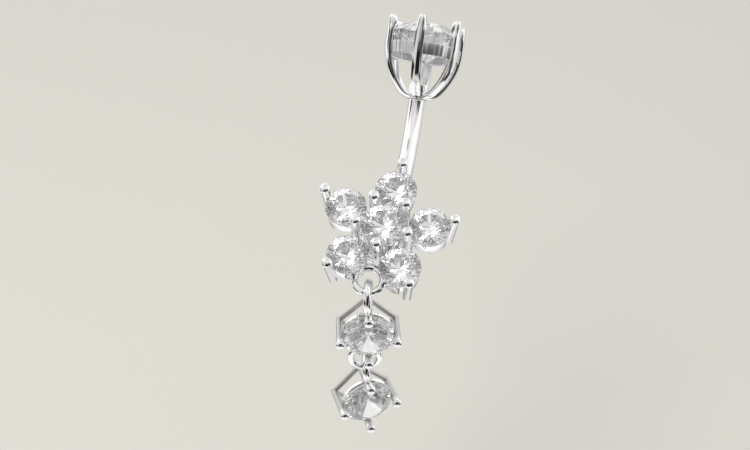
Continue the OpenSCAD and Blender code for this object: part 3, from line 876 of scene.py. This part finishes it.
# %% [markdown]
# ## The boss
#
# At the foot of the straps a round boss takes the bar's pin in a blind hole. The hole could be cut
# with a Boolean, but in turned work the inside belongs to the same section, so the profile starts
# at the hole's end, comes out past its chamfered mouth and closes over the rounded top.

# %% Boss
HOLE_RADIUS, HOLE_END, BOSS_RADIUS, BOSS_TOP = 0.6, 1.3, 1.025, 1.55
MOUTH, BOSS_FOOT_ROUND, BOSS_TOP_ROUND = 0.06, 0.075, 0.2

boss = Profile(0, HOLE_END).to(HOLE_RADIUS, HOLE_END)
boss.to(HOLE_RADIUS, MOUTH).to(HOLE_RADIUS + MOUTH, 0)
boss.to(BOSS_RADIUS - BOSS_FOOT_ROUND, 0).arc(BOSS_RADIUS - BOSS_FOOT_ROUND, BOSS_FOOT_ROUND, 90, 3)
boss.to(BOSS_RADIUS, BOSS_TOP - BOSS_TOP_ROUND)
boss.arc(BOSS_RADIUS - BOSS_TOP_ROUND, BOSS_TOP - BOSS_TOP_ROUND, 90, 5).to(0, BOSS_TOP)
finish_piece("head_boss", boss.turned(64), head, silver, "top", "top_setting")

# %% [markdown]
# ## The drops
#
# Each drop is a light basket: four beaded prongs, a gallery ring behind the stone's girdle, and a
# square frame of thin wire at the back. Each basket could be one mesh, but the prongs and the frame
# get painted shade and more roughness behind the girdle and the gallery is bright, so they are
# separate pieces. The two baskets are alike, so the same functions make them both.

# %% Baskets of the drops
DROP_TAIL, DROP_BEAD, DROP_PRESSED, DROP_BEAD_FRONT, DROP_BACK = 0.6, 0.95, 0.8, 1.07, 2.7
FRAME_WIRE, FRAME_BACK, QUARTERS = 0.5, 2.45, [turn(a, "Y") for a in (0, 90, 180, 270)]


def drop_prongs():
    place = move(PRONG_REACH, -DROP_BEAD_FRONT) @ turn(90, "X")
    prong = prong_form(DROP_BACK + DROP_BEAD_FRONT, DROP_TAIL, DROP_SHAFT, DROP_BEAD, DROP_PRESSED,
                       soft=0.1)
    prong = burr(placed(prong, place), placed(stone_room(DROP_STONE), turn(90, "X")))
    return repeat(prong, QUARTERS)


def drop_frame():
    form = bmesh.new()
    bmesh.ops.create_cone(form, cap_ends=True, segments=20, radius1=FRAME_WIRE / 2,
                          radius2=FRAME_WIRE / 2, depth=PRONG_REACH * math.sqrt(2))
    placed(form, move(PRONG_REACH / 2, FRAME_BACK, PRONG_REACH / 2) @ turn(-45, "Y"))
    return repeat(form, QUARTERS)


def drop_gallery(wall=0.32, near=0.35, length=0.42, soft=0.05, lip=2.218, lip_drop=0.07):
    outer, far = DROP_STONE / 2, near + length
    inner = outer - wall
    profile = Profile(inner, soft - far).to(inner + soft, -far)
    profile.to(outer - soft, -far).to(outer, soft - far).to(outer, -near - soft)
    profile.to(outer - soft, -near).to(lip, -near).to(inner, -near - lip_drop)
    return placed(profile.turned(72, closed=True), turn(90, "X"))


for name, place in (("upper", upper_drop), ("lower", lower_drop)):
    node, body = name + "_drop_setting", name + "_drop"
    # painted shade: the prongs and frame turn darker grey behind the stone's girdle, standing in
    # for shade and a dark reflection
    painted_shade_basket_silver = silver_finish(name + "_painted_shade_basket_silver", girdle=place.translation,
                                  face=place.to_3x3() @ Vector((0, -1, 0)))
    finish_piece(name + "_prongs", drop_prongs(), place, painted_shade_basket_silver, body, node)
    finish_piece(name + "_frame", drop_frame(), place, painted_shade_basket_silver, body, node)
    finish_piece(name + "_gallery", drop_gallery(), place, silver, body, node)

# %% [markdown]
# ## Links of the drops
#
# The upper link turns edge-on to hang on the flower's ring, and the ring under the upper drop faces
# forwards so that the lower link can hang in it. They are the same bent wire as before. Each rides
# on the drop that it is soldered to, and only hangs in the ring above it.

# %% Links
upper_top = upper_middle + UPPER_TURN @ Vector((0, UPPER_LINK_BACK, upper_link_height))
lower_top = lower_middle + LOWER_TURN @ Vector((0, LOWER_LINK_BACK, lower_link_height))
drop_ring_place = move(DROP_RING_SIDE, DROP_RING_BACK, -drop_ring_height) @ turn(90, "X")
finish_piece("upper_link", wire_ring(UPPER_LINK),
             Matrix.Translation(upper_top) @ turn(upper_axis_turn, "Z") @ turn(90, "Y"),
             drawn_silver, "upper_drop", "upper_drop_setting")
finish_piece("upper_drop_ring", placed(wire_ring(DROP_RING), drop_ring_place),
             upper_drop, drawn_silver, "upper_drop", "upper_drop_setting")
finish_piece("lower_link", wire_ring(LOWER_LINK),
             Matrix.Translation(lower_top) @ UPPER_TURN @ turn(90, "Y"),
             drawn_silver, "lower_drop", "lower_drop_setting")

# %% [markdown]
# ## The floor
#
# A pale, matt floor lies well below the jewel and takes a faint shadow. It is staging and no part
# of the object. A real floor would also show in the silver and in the stones, but there the
# studio's walls do that work, so it is hidden from them.

# %% Floor
FLOOR_DEPTH, PALE_FLOOR = -0.045, (0.73, 0.71, 0.655, 1)

floor_form = bmesh.new()
bmesh.ops.create_grid(floor_form, x_segments=1, y_segments=1, size=2.0)
bmesh.ops.translate(floor_form, verts=floor_form.verts, vec=(0, 0, FLOOR_DEPTH))
floor_mesh = bpy.data.meshes.new("floor")
floor_form.to_mesh(floor_mesh)
floor_form.free()
floor = bpy.data.objects.new("floor", floor_mesh)
bpy.context.scene.collection.objects.link(floor)
floor_paint = bpy.data.materials.new("pale_floor")
floor_paint.use_nodes = True
floor_shader = floor_paint.node_tree.nodes["Principled BSDF"]
floor_shader.inputs["Base Color"].default_value = PALE_FLOOR
floor_shader.inputs["Roughness"].default_value = 0.9
floor_mesh.materials.append(floor_paint)
floor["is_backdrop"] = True
floor.visible_glossy = floor.visible_transmission = False
print("floor at", round(floor_mesh.vertices[0].co.z / MM, 1), "mm")

# %% [markdown]
# ## What the metal mirrors
#
# Polished silver shows its surroundings, so the studio matters as much as the metal. Cards could
# stand round the jewel as objects, but then they would show in other views. Here they are painted
# on the world: every direction has a compass angle and a height, and a card is a range of both.
# Bright walls make the silver white, and a few dark cards give the thin dark lines that make the
# straps, the bar and the beads read as round.

# %% Studio walls
DEGREES = 180 / math.pi

studio = bpy.data.worlds.new("studio")
bpy.context.scene.world = studio
studio.use_nodes = True
walls = studio.node_tree
walls.nodes.clear()
way = add_node(walls, "ShaderNodeTexCoord", output=0)
east, north, height = (add_node(walls, "ShaderNodeSeparateXYZ", None, {0: way}, axis)
                       for axis in range(3))
compass = east.reckon("ARCTAN2", east, north * -1.0) * DEGREES
lift = height.reckon("ARCSINE", height) * DEGREES


def card(left, right, low, high, edge, slant):
    """1 on a card between two compass angles and two heights, in degrees, with soft edges.
    A slanted card moves sideways by slant degrees for each degree of height."""
    mask = lift.ease(low - edge, low + edge) * lift.ease(high + edge, high - edge)
    if left > -180:
        across = compass - lift * slant
        mask = mask * across.ease(left - edge, left + edge)
        mask = mask * across.ease(right + edge, right - edge)
    return mask


tone = 0.70
for left, right, low, high, edge, slant, bright in (
        (-180, 180, 62, 99, 8, 0, 0.84),       # ceiling
        (-180, 180, -99, -12, 6, 0, 0.74),     # table under the jewel
        (-110, 110, -99, -26, 8, 0, 1.05),     # white card on the table
        (-155, -84, -10, 72, 6, 0, 1.12),      # large soft window on the left
        (72, 132, -6, 68, 6, 0, 1.06),         # large soft window on the right
        (-150, -112, 62, 82, 5, 0, 0.45),      # gap between window and ceiling
        (-34, 50, 33, 52, 4, 0, 0.10),         # high dark card in front
        (-32, 28, -9, 36, 4, 0, 0.015),        # dark middle card
        (24, 67, 18, 39, 4, 0, 0.05),          # frame of the right window, in three parts
        (39, 65, -36, 30, 5, -0.55, 0.10),
        (-1, 27, -38, -9, 5, -1.87, 0.05),
        (-84, -46, -24, 6, 4, 0.8, 0.02),      # frame of the left window, in two parts
        (-106, -82, 8, 32, 4, 0, 0.12),
        (-4, 18, -62, -51, 4, 0, 0.03)):       # edge of the table
    mask = card(left, right, low, high, edge, slant)
    tone = tone * (1.0 - mask) + mask * bright
print("studio walls with", sum(node.type == "MAP_RANGE" for node in walls.nodes), "soft edges")

# %% [markdown]
# ## Behind the jewel, and through the stones
#
# The table is dimmer behind the jewel, and the far wall is bright, because it is the far wall that
# lights the stones from behind. Light that has passed through a stone meets a gentler studio, so
# that no facet burns out and none is black, and the room that is seen directly is one plain pale
# tone. The Light Path node tells these apart. It is read by the world only, so no finish depends on
# it.

# %% The far side and the plain room
TABLE_SHADE, FAR_WALL, FAR_WALL_LOSS = 0.6, 1.15, 0.27
STONE_CONTRAST, STONE_FILL, PLAIN_ROOM = 0.86, 0.12, 0.75


def far_side(compass_edge, low_edge, high_edge):
    """1 behind the jewel and between two heights; each edge is where it starts and ends easing."""
    return compass.size().ease(*compass_edge) * lift.ease(*low_edge) * lift.ease(*high_edge)


straight = add_node(walls, "ShaderNodeLightPath", output=0)
through = add_node(walls, "ShaderNodeLightPath", output=6)
shaded = far_side((134, 152), (-62, -50), (-14, -24))
tone = tone * (1.0 - shaded * TABLE_SHADE)
far_wall = far_side((128, 146), (-22, -12), (34, 24))
tone = tone * (1.0 - far_wall) + far_wall * (FAR_WALL - through * FAR_WALL_LOSS)
tone = tone * (1.0 - through) + through * (tone * STONE_CONTRAST + STONE_FILL)
strength = tone * (1.0 - straight) + straight * PLAIN_ROOM
background = add_node(walls, "ShaderNodeBackground", None,
                      {"Color": (1.0, 0.995, 0.985, 1), "Strength": strength})
walls.links.new(background.socket, walls.nodes.new("ShaderNodeOutputWorld").inputs["Surface"])
print("the studio is made of", len(walls.nodes), "nodes")

# %% [markdown]
# ## The softbox
#
# The walls alone light the floor evenly from all round. One large, weak disk of light, high on the
# left, gives the soft shadow that sets the jewel above its floor. A small lamp would throw hard
# shadows and put a hot spot on every bead, so this one is wide and hidden from the silver.

# %% Softbox
SOFTBOX_PLACE, SOFTBOX_AIM = (-0.12, -0.08, 0.26), Vector((0, -0.01, 0))

softbox = bpy.data.lights.new("softbox", "AREA")
softbox.shape, softbox.size, softbox.energy = "DISK", 0.16, 0.35
stand = bpy.data.objects.new("softbox", softbox)
bpy.context.scene.collection.objects.link(stand)
stand.location = SOFTBOX_PLACE
stand.rotation_euler = (SOFTBOX_AIM - stand.location).to_track_quat("-Z", "Y").to_euler()
stand.visible_glossy = False
print("softbox at", stand.location.to_tuple(2))

# %% [markdown]
# ## The camera
#
# The photograph looks down on the jewel at forty degrees from straight in front, with a long lens.
# Depth of field stays off, so that the jewel is sharp from every side. The Standard view keeps
# white silver white, and more bounces than usual let light find its way out of the cut stones.

# %% Camera and tone
EYE, AIM = (-0.003252, -0.13447, 0.10376), Vector((-0.003252, -0.0119, 0.000915))
LONG_LENS, FILM_WIDTH, NEAREST = 82.56, 36, 0.005

eye = bpy.data.objects.new("camera", bpy.data.cameras.new("camera"))
bpy.context.scene.collection.objects.link(eye)
bpy.context.scene.camera = eye
eye.location = EYE
eye.rotation_euler = (AIM - eye.location).to_track_quat("-Z", "Y").to_euler()
eye.data.lens, eye.data.sensor_width, eye.data.clip_start = LONG_LENS, FILM_WIDTH, NEAREST
bpy.context.scene.view_settings.view_transform = "Standard"
bpy.context.scene.cycles.glossy_bounces = 10
bpy.context.scene.cycles.transmission_bounces = 16
bpy.context.scene.cycles.max_bounces = 18
print("camera", round((eye.location - AIM).length / MM), "mm away")

# %% [markdown]
# ## Sizes and the end
# The pieces must not make the jewel bigger than its solids. The box of the solids was kept at the
# start, and now the box of the finished jewel is written beside it. The last line checks every
# piece and writes down which body it moves with.

# %% Sizes and the end
now_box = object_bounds()
print("box of the finished jewel in mm:", box_in_mm(now_box))
